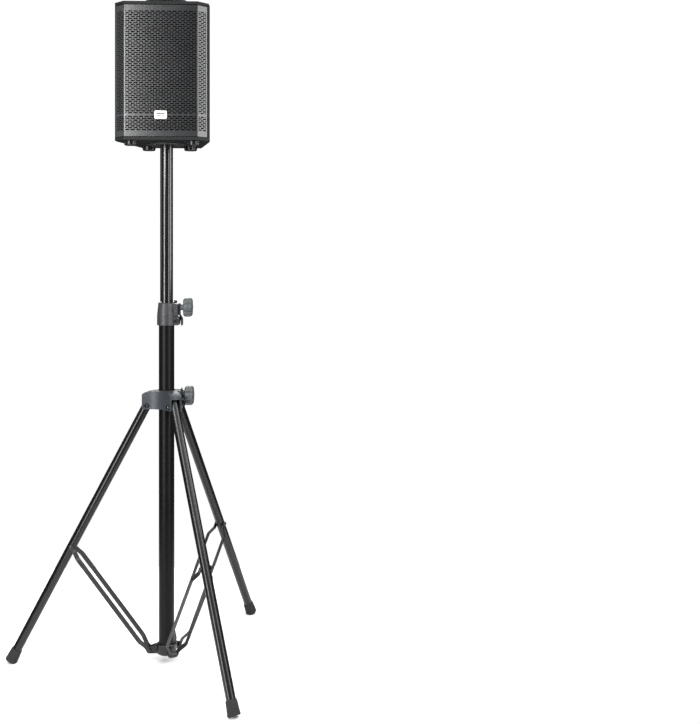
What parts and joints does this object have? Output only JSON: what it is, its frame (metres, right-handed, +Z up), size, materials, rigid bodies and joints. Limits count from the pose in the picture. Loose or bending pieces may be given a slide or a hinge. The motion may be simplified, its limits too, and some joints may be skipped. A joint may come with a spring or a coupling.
{
  "type": "pa speaker",
  "caption": "Two-way loudspeaker cabinet with a folded perforated grille, on a telescopic tripod stand with braced folding legs.",
  "frame": {"origin": "on the floor, under the middle of the box round the whole object; the column's axis is at X = 104.5 mm, Y = 0", "axes": "+Z up the column, the grille faces -Y, the single leg points along -X and the clamp knobs along +X"},
  "size_m": [0.6621, 0.7588, 1.8143],
  "materials": {
    "tube_powder_coat": "satin black powder coat",
    "tube_gloss": "semi-gloss black",
    "clamp_casting": "painted mid-grey casting",
    "collar_casting": "painted blue-grey casting",
    "knob_plastic": "grey moulded nylon",
    "black_plastic": "black moulded plastic",
    "nylon": "plain nylon",
    "rubber": "matt rubber",
    "zinc_steel": "zinc plated",
    "brace_steel": "dark grey plated bar",
    "structure_paint": "black structure paint on plywood",
    "baffle_board": "black painted board",
    "grille_steel": "satin black powder coat",
    "badge_white": "white plate",
    "driver_steel": "black pressed steel",
    "driver_magnet": "zinc plated ferrite magnet and plates",
    "cone_paper": "coated black paper",
    "circuit_board": "lacquered board"
  },
  "bodies": {
    "column": {"lower_tube": "tube_powder_coat", "tube_foot": "nylon", "base_bracket": "tube_powder_coat", "clamp_ring": "clamp_casting", "clamp_body": "clamp_casting", "pinch_bolt": "zinc_steel"},
    "mast": {"upper_tube": "tube_gloss", "upper_tube_bush": "nylon", "upper_tube_cap": "black_plastic"},
    "speaker": {"cabinet_shell": "structure_paint", "front_baffle": "baffle_board", "front_grille": "grille_steel", "grille_badge": "badge_white", "woofer_basket": "driver_steel", "woofer_surround": "rubber", "woofer_magnet": "driver_magnet", "horn_flare": "black_plastic", "horn_driver": "driver_steel", "crossover_board": "circuit_board", "connector_plate": "black_plastic", "input_socket": "black_plastic", "link_socket": "black_plastic", "pole_socket": "driver_steel", "carry_handle": "black_plastic", "cabinet_foot_front_left": "rubber", "cabinet_foot_front_right": "rubber", "cabinet_foot_rear_left": "rubber", "cabinet_foot_rear_right": "rubber"},
    "cone": {"woofer_cone": "cone_paper", "woofer_dust_cap": "cone_paper"},
    "safety_pin": {"safety_pin": "zinc_steel"},
    "height_pad": {"height_pad": "nylon"},
    "height_knob": {"height_knob": "knob_plastic", "height_screw": "zinc_steel"},
    "catch_lever": {"catch_lever": "black_plastic"},
    "leg_collar": {"leg_collar": "collar_casting", "leg_collar_liner": "nylon", "leg_washer": "black_plastic", "left_leg_bolt": "zinc_steel", "front_leg_bolt": "zinc_steel", "back_leg_bolt": "zinc_steel"},
    "leg_pad": {"leg_pad": "nylon"},
    "leg_knob": {"leg_knob": "knob_plastic", "leg_screw": "zinc_steel"},
    "left_leg": {"left_leg": "tube_powder_coat", "left_foot_cap": "rubber", "left_brace_rivet": "zinc_steel"},
    "left_braces": {"left_brace_a": "brace_steel", "left_brace_b": "brace_steel"},
    "front_leg": {"front_leg": "tube_powder_coat", "front_foot_cap": "rubber", "front_brace_rivet": "zinc_steel"},
    "front_braces": {"front_brace_a": "brace_steel", "front_brace_b": "brace_steel"},
    "back_leg": {"back_leg": "tube_powder_coat", "back_foot_cap": "rubber", "back_brace_rivet": "zinc_steel"},
    "back_braces": {"back_brace_a": "brace_steel", "back_brace_b": "brace_steel"}
  },
  "joints": [
    {"name": "mast_height", "type": "slide", "parent": "column", "child": "mast", "axis": [0, 0, 1], "range_m": [0, 0.28]},
    {"name": "speaker_swivel", "type": "hinge", "parent": "mast", "child": "speaker", "pos_m": [0.10447, 0, 1.415], "axis": [0, 0, 1], "continuous": true},
    {"name": "cone_travel", "type": "slide", "parent": "speaker", "child": "cone", "axis": [0, -1, 0], "range_m": [-0.004, 0.004], "stiffness_N_per_m": 2000},
    {"name": "safety_pin_pull", "type": "slide", "parent": "mast", "child": "safety_pin", "axis": [0.766, 0.6428, 0], "range_m": [0, 0.062]},
    {"name": "height_pad_travel", "type": "slide", "parent": "column", "child": "height_pad", "axis": [1, 0, 0], "range_m": [0, 0.003]},
    {"name": "height_knob_turn", "type": "hinge", "parent": "height_pad", "child": "height_knob", "pos_m": [0.16447, 0, 0.968], "axis": [1, 0, 0], "range_deg": [0, 540]},
    {"name": "catch_lever_swing", "type": "hinge", "parent": "column", "child": "catch_lever", "pos_m": [0.14006, 0, 0.968], "axis": [1, 0, 0], "range_deg": [-50, 50]},
    {"name": "leg_collar_slide", "type": "slide", "parent": "column", "child": "leg_collar", "axis": [0, 0, 1], "range_m": [0, 0.11871]},
    {"name": "leg_pad_travel", "type": "slide", "parent": "leg_collar", "child": "leg_pad", "axis": [1, 0, 0], "range_m": [0, 0.003]},
    {"name": "leg_knob_turn", "type": "hinge", "parent": "leg_pad", "child": "leg_knob", "pos_m": [0.16447, 0, 0.726], "axis": [1, 0, 0], "range_deg": [0, 540]},
    {"name": "left_leg_fold", "type": "hinge", "parent": "leg_collar", "child": "left_leg", "pos_m": [0.05117, 0, 0.701], "axis": [0, -1, 0], "range_deg": [0, 25.95]},
    {"name": "left_brace_fold", "type": "hinge", "parent": "left_leg", "child": "left_braces", "pos_m": [-0.15215, 0, 0.317], "axis": [0, 1, 0], "range_deg": [0, 58.74]},
    {"name": "front_leg_fold", "type": "hinge", "parent": "leg_collar", "child": "front_leg", "pos_m": [0.13112, -0.04616, 0.701], "axis": [0.866, 0.5, 0], "range_deg": [0, 25.95]},
    {"name": "front_brace_fold", "type": "hinge", "parent": "front_leg", "child": "front_braces", "pos_m": [0.23277, -0.22224, 0.317], "axis": [-0.866, -0.5, 0], "range_deg": [0, 58.74]},
    {"name": "back_leg_fold", "type": "hinge", "parent": "leg_collar", "child": "back_leg", "pos_m": [0.13112, 0.04616, 0.701], "axis": [-0.866, 0.5, 0], "range_deg": [0, 25.95]},
    {"name": "back_brace_fold", "type": "hinge", "parent": "back_leg", "child": "back_braces", "pos_m": [0.23277, 0.22224, 0.317], "axis": [0.866, -0.5, 0], "range_deg": [0, 58.74]}
  ],
  "couplings": [
    {"joint": "height_pad_travel", "follows": "height_knob_turn", "m_per_rad": 0.00031831},
    {"joint": "leg_pad_travel", "follows": "leg_knob_turn", "m_per_rad": 0.00031831},
    {"joint": "left_leg_fold", "follows": "leg_collar_slide", "rad_per_m": 3.8079},
    {"joint": "left_brace_fold", "follows": "leg_collar_slide", "rad_per_m": 8.6218},
    {"joint": "front_leg_fold", "follows": "leg_collar_slide", "rad_per_m": 3.8079},
    {"joint": "front_brace_fold", "follows": "leg_collar_slide", "rad_per_m": 8.6218},
    {"joint": "back_leg_fold", "follows": "leg_collar_slide", "rad_per_m": 3.8079},
    {"joint": "back_brace_fold", "follows": "leg_collar_slide", "rad_per_m": 8.6218}
  ]
}
